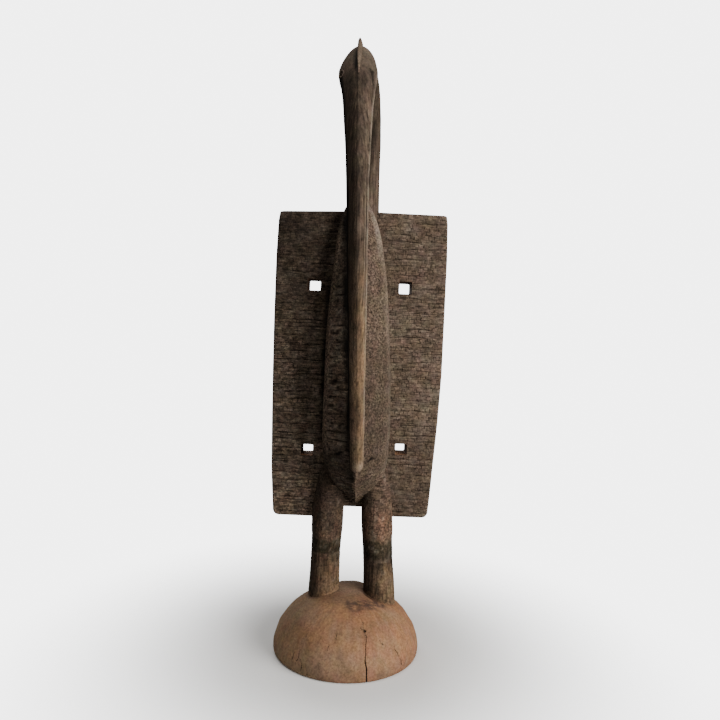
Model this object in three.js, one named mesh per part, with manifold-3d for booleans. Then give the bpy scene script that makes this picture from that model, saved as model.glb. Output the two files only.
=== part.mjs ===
// A hornbill figure in the Senufo manner, carved from one block of wood together with its domed plinth.
// The bird stands on two round legs in front of a flat wing board, and its long bill bows out and comes back
// to rest on the keeled belly. The bird faces -Y, +Z is up, and the origin is the middle of the plinth's
// underside. Lengths are in millimetres.

import * as THREE from "three";
import { LoftGeometry } from "three/addons/geometries/LoftGeometry.js";
import { mergeVertices } from "three/addons/utils/BufferGeometryUtils.js";
import Module from "manifold-3d";

// Domed plinth
const plinthRadius = 143.5;
const plinthHeight = 113;
const plinthEdgeRound = 5; // the lower edge is rolled under by this much
const birdOffset = [3, 4]; // the bird stands a little to the right of the plinth's middle and behind it

// Drying split that runs up the plinth's front
const splitSide = 41; // to the right of the plinth's middle
const splitRise = 73;
const splitWidth = 3.6;
const splitDepth = 24;

// Wing board
const boardWidth = 352;
const boardHeight = 622;
const boardThickness = 38;
const boardBottom = 250; // above the floor
const boardFront = 25; // the board's front face lies this far behind the bird's middle
const boardEdgeEase = 3;
const crotchRise = 20; // the board is cut this much higher between the legs
const crotchSides = [-20, 22]; // the cut's left and right side, from the bird's middle

// Four squarish holes through the board: each one's place across it and up it, then its width and height
const boardHoles = [
  [-96, 473, 27, 25.5],
  [89.5, 473.5, 27.4, 27],
  [-97.2, 134.8, 24.7, 21],
  [94.4, 143.2, 23.2, 21],
];

// Scored rows across both faces of the board
const rowPitch = 19.4;
const rowDepth = 1.5;
const rowWidth = 4.6;

// Keeled body, widest and deepest at the belly
const bodyHalfWidth = 66.5;
const bodyDepth = 124; // forward of the board's front face

// Legs
const legRadius = 30.5;
const legForward = 7; // from the board's front face to the axis at the hip
const leftLegSpread = [49.3, 51]; // from the middle to the leg's axis, at the hip and at the foot
const rightLegSpread = [51.5, 60.5];
const legRoot = 50; // how far a leg runs on, down inside the plinth
const hipRise = 10; // the hip lies this far above the board's bottom
const legLean = 12; // the foot stands this far in front of the hip
const footSunk = 8; // the foot is measured this far below the plinth's top

// Above the hip a leg thins out inside the flank: how far inwards, back and up, then its share of the radius
const legTop = [
  [3, 2, 50, 0.97],
  [7, 4, 90, 0.8],
  [12, 8, 115, 0.45],
];

// Neck and head
const neckHalfWidth = 31;
const neckHalfDepth = 30;
const headRise = 312; // from the board's top to the top of the head
const headHalfWidth = 38.3;
const headTurn = -19.5; // the head sits this far off the middle

// Bill
const billTipHalfWidth = 13.4;
const billRootHalfWidth = 31;
const billBow = 58; // how far it bows out in front of a straight line
const billRootForward = 142; // its root lies this far in front of the board's middle
const billTipSide = 6; // its tip lies this far off the middle
const billTipDrop = 40; // its tip ends this far below the belly's fullest height
const billRidgeSide = -2.4; // its ridge stands this far off its own middle
const mouthGroove = 2.4;

// Crest along the crown, and the eyes
const crestRise = 18;
const crestThickness = 10;
const eyeRadius = 7;
const eyeStand = 2.4;

// Places that follow from the sizes above
const boardTop = boardBottom + boardHeight;
const boardMiddle = boardFront + boardThickness / 2;
const headTop = boardTop + headRise;
const bodyShare = (share) => boardBottom + share * boardHeight;
const bellyHeight = bodyShare(0.27);

const wasm = await Module();
wasm.setup();

// Turns a closed geometry into a solid, its doubled seam and cap points made one.
function solidOf(geometry) {
  const indexed = geometry.index ? geometry : mergeVertices(geometry);
  const mesh = new wasm.Mesh({
    numProp: 3,
    vertProperties: indexed.attributes.position.array,
    triVerts: new Uint32Array(indexed.index.array),
  });
  mesh.merge();
  return new wasm.Manifold(mesh);
}

// A lofted solid through closed sections, with both ends capped.
function loft(sections) {
  return solidOf(new LoftGeometry(sections, { capStart: true, capEnd: true }));
}

// A smooth curve through rows of up to three values, read at shares from 0 to 1.
function smooth(rows) {
  const points = rows.map(([x, y = 0, z = 0]) => new THREE.Vector3(x, y, z));
  return new THREE.CatmullRomCurve3(points, false, "catmullrom");
}

const mix = THREE.MathUtils.lerp;

// The plinth is half an ellipsoid on a flat foot, with its lower edge rolled under.
function plinth() {
  const profile = [new THREE.Vector2(0, 0)];
  const footSteps = 3;
  for (let i = 0; i <= footSteps; i++) {
    const angle = (i / footSteps) * (Math.PI / 2);
    profile.push(
      new THREE.Vector2(
        plinthRadius - plinthEdgeRound * (1 - Math.sin(angle)),
        plinthEdgeRound * (1 - Math.cos(angle)),
      ),
    );
  }
  const domeSteps = 11;
  for (let i = 1; i < domeSteps; i++) {
    const angle = (i / domeSteps) * (Math.PI / 2);
    profile.push(
      new THREE.Vector2(
        plinthRadius * Math.cos(angle) ** 0.94,
        mix(plinthEdgeRound, plinthHeight, Math.sin(angle)),
      ),
    );
  }
  profile.push(new THREE.Vector2(0, plinthHeight));
  const dome = solidOf(new THREE.LatheGeometry(profile, 48)).rotate([90, 0, 0]);
  return dome.subtract(split());
}

// A thin wedge that cuts the drying split, wide at the foot and closing upwards.
function split() {
  const wedge = new THREE.Shape();
  wedge.moveTo(-splitWidth / 2, -1);
  wedge.lineTo(splitWidth / 2, -1);
  wedge.lineTo(splitWidth / 3, splitRise * 0.55);
  wedge.lineTo(splitWidth * 0.8, splitRise);
  wedge.lineTo(-splitWidth / 4, splitRise * 0.6);
  const solid = solidOf(new THREE.ExtrudeGeometry(wedge, { depth: plinthRadius, bevelEnabled: false }));
  const front = Math.sqrt(plinthRadius ** 2 - splitSide ** 2);
  return solid.rotate([90, 0, 0]).translate([splitSide, splitDepth - front, 0]);
}

// The board's outline at one depth: nearly square above, drawn in over the lower third, a little more so on
// the right, and cut higher between the legs. The inset draws the whole outline in, for the eased edges.
function boardOutline(depth, inset) {
  const half = boardWidth / 2;
  // height up the board, then the reach to the left and to the right as shares of half its width
  const edge = [
    [0.998, 0.972, 0.965],
    [0.988, 0.99, 0.982],
    [0.86, 1.003, 0.992],
    [0.64, 1.0, 0.986],
    [0.48, 0.991, 0.981],
    [0.32, 0.978, 0.955],
    [0.16, 0.962, 0.915],
    [0.05, 0.935, 0.889],
    [0.014, 0.925, 0.878],
    [0.003, 0.9, 0.855],
  ];
  const rise = (share) => mix(boardBottom + inset, boardTop - inset, share);
  const right = edge.map(([height, , reach]) => [half * reach - inset, rise(height)]);
  const left = edge.map(([height, reach]) => [inset - half * reach, rise(height) - 2.5]);
  const points = [
    [0, rise(1.006)],
    ...right,
    [crotchSides[1] + inset, rise(0.003)],
    [crotchSides[1] + inset, rise(0) + crotchRise],
    [crotchSides[0] - inset, rise(0) + crotchRise],
    [crotchSides[0] - inset, rise(0)],
    ...left.reverse(),
  ];
  return points.map(([x, z]) => new THREE.Vector3(x, depth, z));
}

// The board's side profile: a strip of its thickness with shallow V rows cut into both faces.
function scoredStrip() {
  const strip = new THREE.Shape();
  const rows = Math.floor(boardHeight / rowPitch);
  const rowHeight = (row) => boardBottom + rowPitch * (row + 0.6 + 0.14 * Math.sin(2.3 * row));
  const reach = boardThickness / 2;
  const margin = 5;
  strip.moveTo(-reach, boardBottom - margin);
  for (let row = 0; row < rows; row++) {
    const z = rowHeight(row);
    strip.lineTo(-reach, z - rowWidth / 2);
    strip.lineTo(-reach + rowDepth, z);
    strip.lineTo(-reach, z + rowWidth / 2);
  }
  strip.lineTo(-reach, boardTop + margin);
  strip.lineTo(reach, boardTop + margin);
  for (let row = rows - 1; row >= 0; row -= 2) {
    const z = rowHeight(row);
    strip.lineTo(reach, z + rowWidth / 2);
    strip.lineTo(reach - rowDepth, z);
    strip.lineTo(reach, z - rowWidth / 2);
  }
  strip.lineTo(reach, boardBottom - margin);
  return strip;
}

// The wing board: its outline carried through its thickness, scored with rows and pierced.
function board() {
  const back = boardFront + boardThickness;
  const slab = loft([
    boardOutline(boardFront, boardEdgeEase),
    boardOutline(boardFront + boardEdgeEase, 0),
    boardOutline(back - boardEdgeEase, 0),
    boardOutline(back, boardEdgeEase),
  ]);
  const strip = new THREE.ExtrudeGeometry(scoredStrip(), { depth: boardWidth + 20, bevelEnabled: false });
  const scored = solidOf(strip)
    .rotate([90, 0, 0])
    .rotate([0, 0, 90])
    .translate([-boardWidth / 2 - 10, boardMiddle, 0]);
  let pierced = slab.intersect(scored);
  for (const [across, up, width, height] of boardHoles) {
    const hole = solidOf(new THREE.BoxGeometry(width, 2 * boardThickness, height));
    pierced = pierced.subtract(hole.translate([across, boardMiddle, boardBottom + up]));
  }
  return pierced;
}

// The keeled body. Each level section is a wall, a rounded shoulder and a facet that rises to the keel.
// Rows: height up the board, sideways drift, half width and depth, the last two as shares of the largest.
function body() {
  const levels = [
    [0.05, 0.09, 0.04, 0.09],
    [0.088, 0.09, 0.34, 0.33],
    [0.115, 0.06, 0.575, 0.5],
    [0.142, 0.06, 0.735, 0.66],
    [0.17, 0.06, 0.86, 0.8],
    [0.206, 0.04, 0.945, 0.93],
    [0.245, 0.03, 0.985, 0.985],
    [0.29, 0.03, 1.0, 1.0],
    [0.37, 0.02, 1.0, 0.98],
    [0.45, 0.01, 0.99, 0.94],
    [0.55, -0.02, 0.965, 0.875],
    [0.63, -0.04, 0.93, 0.81],
    [0.74, -0.05, 0.86, 0.7],
    [0.86, -0.08, 0.74, 0.55],
    [0.942, -0.13, 0.62, 0.41],
    [1.0, -0.17, 0.45, 0.26],
    [1.04, -0.19, 0.2, 0.14],
  ];
  // Across one side of a section, as shares of half width and depth, from inside the board to the keel.
  const flank = [
    [0.9, -0.08],
    [0.95, 0.12],
    [1.0, 0.38],
    [0.955, 0.53],
    [0.83, 0.665],
    [0.45, 0.855],
  ];
  const centres = smooth(levels.map(([rise, drift]) => [drift * bodyHalfWidth, 0, bodyShare(rise)]));
  const sizes = smooth(levels.map(([, , width, depth]) => [width * bodyHalfWidth, depth * bodyDepth]));
  const steps = (levels.length - 1) * 2;
  const sections = [];
  for (let i = 0; i <= steps; i++) {
    const centre = centres.getPoint(i / steps);
    const size = sizes.getPoint(i / steps);
    const sunk = (out) => (out < 0 ? 4 : 0);
    const at = (side, [across, out]) =>
      new THREE.Vector3(centre.x + side * across * size.x, boardFront - out * size.y + sunk(out), centre.z);
    const left = flank.map((point) => at(-1, point));
    const right = flank.map((point) => at(1, point));
    sections.push([...left, at(0, [0, 1]), ...right.reverse()]);
  }
  return loft(sections);
}

// One leg: a round column from inside the plinth up to the flank of the body.
function leg(side, [hipSpread, footSpread]) {
  const hip = new THREE.Vector3(side * hipSpread, boardFront - legForward, boardBottom + hipRise);
  const footForward = legForward + legLean;
  const foot = new THREE.Vector3(side * footSpread, boardFront - footForward, plinthHeight - footSunk);
  const down = foot.clone().sub(hip).normalize();
  const stations = [
    [foot.clone().addScaledVector(down, legRoot), 1.0],
    [foot, 1.02],
    [foot.clone().lerp(hip, 0.45), 0.965],
    [hip, 1.03],
    ...legTop.map(([inwards, back, up, share]) => [
      hip.clone().add(new THREE.Vector3(-side * inwards, back, up)),
      share,
    ]),
  ];
  const path = smooth(stations.map(([point]) => point.toArray()));
  const radii = smooth(stations.map(([, share]) => [share * legRadius]));
  const steps = (stations.length - 1) * 2;
  const corners = 18;
  const sections = [];
  for (let i = 0; i <= steps; i++) {
    const centre = path.getPoint(i / steps);
    const radius = radii.getPoint(i / steps).x;
    const section = [];
    for (let j = 0; j < corners; j++) {
      const angle = (j / corners) * 2 * Math.PI;
      section.push(
        new THREE.Vector3(
          centre.x + radius * Math.cos(angle),
          centre.y + radius * Math.sin(angle),
          centre.z,
        ),
      );
    }
    sections.push(section);
  }
  return loft(sections);
}

// Places along the crook that the neck, head and bill follow, from inside the board to the bill's tip.
// Rows: centre across, centre forward of the board's middle, height, half width, outer depth, inner depth,
// how sharp the outer ridge is (0 to 1) and the depth of the mouth groove.
function crookStations() {
  const w = neckHalfWidth;
  const d = neckHalfDepth;
  const h = headHalfWidth;
  const up = (share) => boardTop + share * headRise;
  const stations = [
    [0, 0, bodyShare(0.46), 0.5 * w, 0.4 * d, 0.4 * d, 0, 0],
    [0, 0, bodyShare(0.72), 0.85 * w, 0.82 * d, 0.8 * d, 0, 0],
    [0, 0, bodyShare(0.96), 1.03 * w, d, 1.05 * d, 0, 0],
    [0, 1, up(0.29), 0.965 * w, 0.97 * d, 0.97 * d, 0, 0],
    [0, 7, up(0.6), 0.94 * w, d, 0.92 * d, 0.05, 0],
    [0.43 * headTurn, 29, up(0.79), 0.84 * h, 0.86 * h, 0.7 * h, 0.12, 0],
    [0.86 * headTurn, 68, headTop - h, 0.9 * h, h, 0.68 * h, 0.12, 0],
    [headTurn, 109, up(0.805), h, h, 0.7 * h, 0.42, 1.5],
  ];
  // The bill runs from its root (1) to its tip (0) and bows out between them.
  const root = [0.97 * headTurn, billRootForward, up(0.64)];
  const tip = [billTipSide, boardMiddle - boardFront + bodyDepth, bellyHeight - billTipDrop];
  for (const share of [1, 0.91, 0.79, 0.65, 0.5, 0.34, 0.19, 0.07, 0]) {
    const bulk = share ** 6;
    stations.push([
      mix(tip[0], root[0], share),
      mix(tip[1], root[1], share) + billBow * Math.sin(Math.PI * share ** 1.3),
      mix(tip[2], root[2], share),
      mix(billTipHalfWidth + 5.5 * share ** 0.6, billRootHalfWidth, bulk),
      mix(13 + 12 * share, billRootHalfWidth, bulk),
      mix(10 + 6 * share, 0.68 * billRootHalfWidth, bulk),
      0.45,
      mouthGroove * (1 + 1.6 * bulk),
    ]);
  }
  return stations;
}

// The crook sampled smoothly: at(station) gives the centre, the outward direction and the sizes there.
function crook() {
  const stations = crookStations();
  const last = stations.length - 1;
  const centres = smooth(stations.map(([x, forward, z]) => [x, boardMiddle - forward, z]));
  const halves = smooth(stations.map((row) => row.slice(3, 6)));
  const forms = smooth(stations.map((row) => row.slice(6)));
  return {
    last,
    at(station) {
      const t = Math.min(station / last, 1);
      const along = centres.getTangent(t);
      const outward = new THREE.Vector3(0, along.z, -along.y).normalize();
      return {
        centre: centres.getPoint(t),
        outward,
        along,
        half: halves.getPoint(t),
        form: forms.getPoint(t),
      };
    },
  };
}

// One section of the crook. Its outer side blends from an ellipse to a ridge, more on the left than on the
// right, its inner side is a little squared, and one corner on each side is drawn in for the mouth groove.
function crookSection({ centre, outward, half, form }, shrink) {
  const corners = 24;
  const ridgeSide = billRidgeSide * THREE.MathUtils.smoothstep(form.x, 0.2, 0.4);
  const points = [];
  for (let j = 0; j < corners; j++) {
    const angle = (j / corners) * 2 * Math.PI;
    const c = Math.cos(angle);
    const s = Math.sin(angle);
    let across;
    let out;
    if (s >= 0) {
      const toRidge = 1 - Math.abs(1 - angle / (Math.PI / 2));
      const linear = Math.sign(c) * (1 - toRidge);
      const blend = form.x * (c < 0 ? 1.2 : 0.75);
      across = half.x * mix(c, linear, blend) + ridgeSide * toRidge;
      out = half.y * mix(s, toRidge, blend);
    } else {
      across = half.x * Math.sign(c) * Math.abs(c) ** 0.8;
      out = -half.z * Math.abs(s) ** 0.85;
    }
    if (j === corners - 1 || j === corners / 2 + 1) across -= Math.sign(across) * form.y;
    points.push(
      centre
        .clone()
        .addScaledVector(outward, out * shrink)
        .add(new THREE.Vector3(across * shrink, 0, 0)),
    );
  }
  return points;
}

// Neck, head and bill in one sweep along the crook, with a blunt rounded tip.
function neckHeadAndBill(path) {
  const perStation = 4;
  const sections = [];
  for (let i = 0; i <= path.last * perStation; i++)
    sections.push(crookSection(path.at(i / perStation), 1));
  const tip = path.at(path.last);
  const tipLength = 13;
  for (const share of [0.45, 0.8, 0.97]) {
    const moved = { ...tip, centre: tip.centre.clone().addScaledVector(tip.along, share * tipLength) };
    sections.push(crookSection(moved, Math.sqrt(1 - share ** 2)));
  }
  return loft(sections);
}

// The crest: a blade that stands on the crown, sharp above, and runs down the forehead to a point.
function crest(path) {
  const first = 5.2;
  const end = 7.6;
  const steps = 22;
  const sunk = 7;
  const sections = [];
  for (let i = 0; i <= steps; i++) {
    const q = i / steps;
    const { centre, outward, half } = path.at(mix(first, end, q));
    centre.x = headTurn;
    const rise = crestRise * Math.sin(Math.PI * q ** 0.75) ** 0.8;
    const foot = mix(1, 0.25, Math.max(0, q - 0.75) / 0.25);
    const edge = foot * mix(0.06, 0.7, THREE.MathUtils.smoothstep(q, 0.5, 0.85));
    const point = (out, share) =>
      centre
        .clone()
        .addScaledVector(outward, half.y + out)
        .add(new THREE.Vector3((share * crestThickness) / 2, 0, 0));
    const top = rise - 1;
    sections.push([point(-sunk, -1.6 * foot), point(-sunk, foot), point(top, edge), point(top, -edge)]);
  }
  return loft(sections);
}

// Both eyes: one short round boss carried through the head, so that it stands out on each side.
function eyes(path) {
  const { centre, outward, half } = path.at(7);
  const at = centre.clone().addScaledVector(outward, -3);
  const boss = new THREE.CylinderGeometry(eyeRadius, eyeRadius, 2 * (half.x + eyeStand), 20);
  return solidOf(boss).rotate([0, 0, 90]).translate(at.toArray());
}

// The bird is worked out about its own middle and then set on the plinth, which is one piece with it.
const path = crook();
const bird = board()
  .add(body())
  .add(leg(-1, leftLegSpread))
  .add(leg(1, rightLegSpread))
  .add(neckHeadAndBill(path))
  .add(crest(path))
  .add(eyes(path));
const figure = plinth().add(bird.translate([...birdOffset, 0]));

// Turns the finished solid back into a mesh.
function meshOf(solid, name, material) {
  const { vertProperties, triVerts, numProp } = solid.getMesh();
  const positions = new Float32Array((vertProperties.length / numProp) * 3);
  for (let i = 0; i < positions.length / 3; i++)
    positions.set(vertProperties.subarray(i * numProp, i * numProp + 3), i * 3);
  const geometry = new THREE.BufferGeometry()
    .setAttribute("position", new THREE.BufferAttribute(positions, 3))
    .setIndex(new THREE.BufferAttribute(triVerts, 1));
  geometry.computeVertexNormals();
  const mesh = new THREE.Mesh(geometry, material);
  mesh.name = name;
  return mesh;
}

const carvedWood = new THREE.MeshStandardMaterial({ color: 0x5c4a3b, roughness: 0.82, metalness: 0 });
const group = new THREE.Group();
group.add(meshOf(figure, "hornbill_figure", carvedWood));

export default group;
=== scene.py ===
import bpy
import math
import numpy as np
from functools import partial
from mathutils import Matrix, Vector


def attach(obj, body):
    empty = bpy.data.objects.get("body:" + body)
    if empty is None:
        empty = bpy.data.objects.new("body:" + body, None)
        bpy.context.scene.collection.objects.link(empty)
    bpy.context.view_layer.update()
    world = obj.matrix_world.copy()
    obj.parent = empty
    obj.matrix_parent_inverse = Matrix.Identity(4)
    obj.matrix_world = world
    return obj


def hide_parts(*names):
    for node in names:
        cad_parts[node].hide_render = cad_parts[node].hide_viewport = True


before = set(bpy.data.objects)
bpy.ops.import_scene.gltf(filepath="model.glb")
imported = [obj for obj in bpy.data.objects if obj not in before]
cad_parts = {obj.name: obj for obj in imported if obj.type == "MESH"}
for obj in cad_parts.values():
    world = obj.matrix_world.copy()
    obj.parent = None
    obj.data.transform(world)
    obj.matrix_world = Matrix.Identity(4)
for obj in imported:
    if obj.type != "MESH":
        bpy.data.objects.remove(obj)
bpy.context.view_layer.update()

# Every form is worked out in millimetres in the part's own frame, and turned to metres in newMesh. Noise is
# given as strength, size across, front to back and up, and seed.
birdShift = np.array([3.0, 4.0, 0.0])  # the bird stands a little right of the plinth's middle and behind it
boardFront, boardThickness = 25.0, 38.0
boardMiddle = boardFront + boardThickness / 2
boardBottom, boardHeight = 250.0, 622.0
boardTop = boardBottom + boardHeight

# Finish layers, one number from 0 to 1 at each vertex: "known" marks those that a form painted itself.
# the dark layer and the stain layer carry painted shade as well as real dirt and stains
layerNames = (
    "known", "bare", "tan", "red", "sootAndShade", "pale", "grain", "rough", "scored", "stipple", "band", "stainAndShade",
)


def smoothRows(rows, at):
    # a Catmull-Rom curve through the rows, read at shares from 0 to 1 of the way through them
    rows = np.asarray(rows, float)
    ends = np.vstack([2 * rows[0] - rows[1], rows, 2 * rows[-1] - rows[-2]])
    place = unit(np.asarray(at, float)) * (len(rows) - 1)
    i = np.minimum(place.astype(int), len(rows) - 2)
    f = (place - i)[:, None]
    p, q, r, s = ends[i], ends[i + 1], ends[i + 2], ends[i + 3]
    return q + 0.5 * f * (r - p + f * (2 * p - 5 * q + 4 * r - s + f * (3 * (q - r) + s - p)))


def unit(value):
    # the value limited to lie from 0 to 1
    return np.clip(value, 0, 1)


def easeStep(value, start, end):
    # 0 up to start and 1 from end on, or the other way round where start is the larger
    t = unit((value - start) / (end - start))
    return t * t * (3 - 2 * t)


def between(value, low, full, fading, high):
    # 1 from full to fading, eased down to 0 at low and at high
    return easeStep(value, low, full) * easeStep(value, high, fading)


def bell(value, centre, width):
    # 1 at the centre, falling off on both sides: e to the minus square of the distance over the width
    return np.exp(-(((value - centre) / width) ** 2))


def strongest(*layers):
    # the largest of several layers at each point
    return np.maximum.reduce(np.broadcast_arrays(*layers))


def ringAngles(count):
    # evenly spaced angles once round
    return np.linspace(0, 2 * math.pi, count, endpoint=False)


def spun(profile, count):
    # a profile of radius and height, turned round the Z axis
    angle = ringAngles(count)
    radius, height = profile[:, :1], profile[:, 1:]
    return np.stack([radius * np.cos(angle), radius * np.sin(angle), height + 0 * angle], -1)


def addObject(name, data):
    # a new object, linked to the scene
    made = bpy.data.objects.new(name, data)
    bpy.context.scene.collection.objects.link(made)
    return made


def grain(points, size, seed):
    # value noise from -1 to 1: a random number at each corner of a lattice, blended smoothly between them
    cell = points / np.asarray(size, float)
    base = np.floor(cell).astype(np.int64)
    f = cell - base
    f = f * f * (3 - 2 * f)
    total = np.zeros(points.shape[:-1])
    for corner in range(8):
        bits = np.array([corner & 1, corner >> 1 & 1, corner >> 2 & 1])
        c = base + bits
        h = (c[..., 0] * 73856093) ^ (c[..., 1] * 19349663) ^ (c[..., 2] * 83492791) ^ (seed * 40503)
        h = ((h ^ (h >> 13)) * 1274126177) & 0x7FFFFFFF
        h = h ^ (h >> 15)
        total += (h & 0xFFFF) / 65535.0 * np.prod(np.where(bits, f, 1 - f), axis=-1)
    return 2 * total - 1


def layered(points, rows, seed=0):
    # several noises added together, from rows of strength, size and seed
    return sum(strength * grain(points, size, seed + own) for strength, size, own in rows)


def outward(grid):
    # the outward direction at each point of a closed-ring grid: around the ring crossed with along it
    along = np.gradient(grid, axis=0)
    around = np.roll(grid, -1, 1) - np.roll(grid, 1, 1)
    n = np.cross(around, along)
    return n / np.maximum(np.linalg.norm(n, axis=-1, keepdims=True), 1e-9)


def newMesh(name, grid, layers):
    # a closed skin over rings of points: quads between rings, and a fan to the middle of each end ring
    rings, around = grid.shape[:2]
    points = np.vstack([grid.reshape(-1, 3), grid[0].mean(0), grid[-1].mean(0)])
    i, j = np.meshgrid(np.arange(rings - 1), np.arange(around), indexing="ij")
    k = (j + 1) % around
    quads = np.stack([i * around + j, i * around + k, (i + 1) * around + k, (i + 1) * around + j], -1)
    j = np.arange(around)
    k = (j + 1) % around
    last = (rings - 1) * around
    lower = np.stack([np.full(around, rings * around), k, j], -1)
    upper = np.stack([np.full(around, rings * around + 1), last + j, last + k], -1)
    mesh = bpy.data.meshes.new(name)
    faces = quads.reshape(-1, 4).tolist() + lower.tolist() + upper.tolist()
    mesh.from_pydata((points / 1000).tolist(), [], faces)
    painted = dict(layers, known=1.0)
    for layer in layerNames:
        value = np.broadcast_to(np.asarray(painted.get(layer, 0.0), float), (rings, around))
        value = np.concatenate([value.ravel(), [value[0].mean(), value[-1].mean()]])
        mesh.attributes.new(layer, "FLOAT", "POINT").data.foreach_set("value", np.clip(value, 0, 1))
    return addObject(name, mesh)


def boxMesh(name, low, high):
    # an upright box between two corners, as two square rings
    (a, b, c), (d, e, f) = low, high
    ring = np.array([[a, b], [d, b], [d, e], [a, e]])
    grid = np.stack([np.column_stack([ring, np.full(4, z)]) for z in (c, f)])
    # its walls are painted a little dark, as shade in the gap under the board between the legs
    return newMesh(name, grid, {"sootAndShade": 0.4})


def joined(base, others, operation):
    # one boolean after another on the first form, worked out together, and the other forms removed
    for other in others:
        change = base.modifiers.new(operation.lower(), "BOOLEAN")
        change.operation, change.solver, change.object = operation, "MANIFOLD", other
    bpy.context.view_layer.update()
    made = bpy.data.meshes.new_from_object(base.evaluated_get(bpy.context.evaluated_depsgraph_get()))
    base.modifiers.clear()
    base.data = made
    for other in others:
        bpy.data.objects.remove(other)
    return base


# The wing board: a flat slab with eased edges and horizontal scored rows, pierced by four small square holes.
board = {
    "width": 352.0,
    "edgeEase": 3.2,
    "rowPitch": 16.4,
    "rowDepth": 1.4,
    "rowWidth": 4.0,
    "stray": [(2.3, (50, 25, 1), 3), (1.1, (15, 9, 1), 4)],
    "uneven": [(0.9, (70, 1, 55), 8), (0.5, (14, 1, 9), 9)],
    "frontColumns": 92,
    "backColumns": 20,
    # its outline: height up the board, and the reach to the left and right, as shares
    "outline": [
        (0, 0.885, 0.84), (0.003, 0.9, 0.855), (0.014, 0.925, 0.878), (0.05, 0.935, 0.889),
        (0.16, 0.962, 0.915), (0.32, 0.978, 0.955), (0.48, 0.991, 0.981), (0.64, 1.0, 0.986),
        (0.86, 1.003, 0.992), (0.988, 0.99, 0.982), (0.998, 0.972, 0.965), (1.003, 0.955, 0.945),
    ],
    "bottomLift": {-1: 1.0, 1: 3.8},
    # the top edge: lift at the left corner, rise from there to the neck, lift at the neck, fall to the right
    "topLift": (2.5, 5.7, 5.1, 1.9),
    "leftDrop": 2.5,
    # middle across, middle up the board, width, height, how bare the sill is and how pale it is painted as
    # lit from behind, how far the mouth widens
    "holes": [
        (-96, 473, 26.4, 23.4, 0.1, 0), (90.3, 473.5, 24.6, 25.0, 0.1, 1.5),
        (-97.4, 134.8, 23.6, 20.4, 0.95, 1.4), (94.2, 143.2, 22, 20.2, 0.75, 1.5),
    ],
    "holeSides": 24,
    "squareness": 0.2,  # 1 is an ellipse and 0 a sharp square
    # along a hole from front to back: how far behind the plinth's middle, and the share of its size
    "holeRings": [(0, 1.04), (25.5, 1.04), (27.5, 1), (45, 0.9), (62, 0.87), (64, 0.87), (90, 0.87)],
    "mouthEnd": (27, 45),  # where a widened mouth starts to narrow and where it ends
    "crotch": (-19.0, 21.5, 21.5),  # left, right and top above the board's bottom
    # painted shade and dirt: the body's shadow at the top of the left wing and beside the body, darker on the
    # right wing above and below, dirt in the rows
    "sootAndShade": {"topLeftShade": 0.62, "bodyShadow": 0.8, "topRight": 0.14, "lowRight": 0.17, "rows": 0.72},
}


def boardReach(z):
    # how far the board reaches to the left and to the right at a height, from its edge profile
    half = board["width"] / 2
    rise, left, right = np.array(board["outline"], float).T
    share = (z - boardBottom) / boardHeight
    return half * np.interp(share, rise, left), half * np.interp(share, rise, right)


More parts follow.
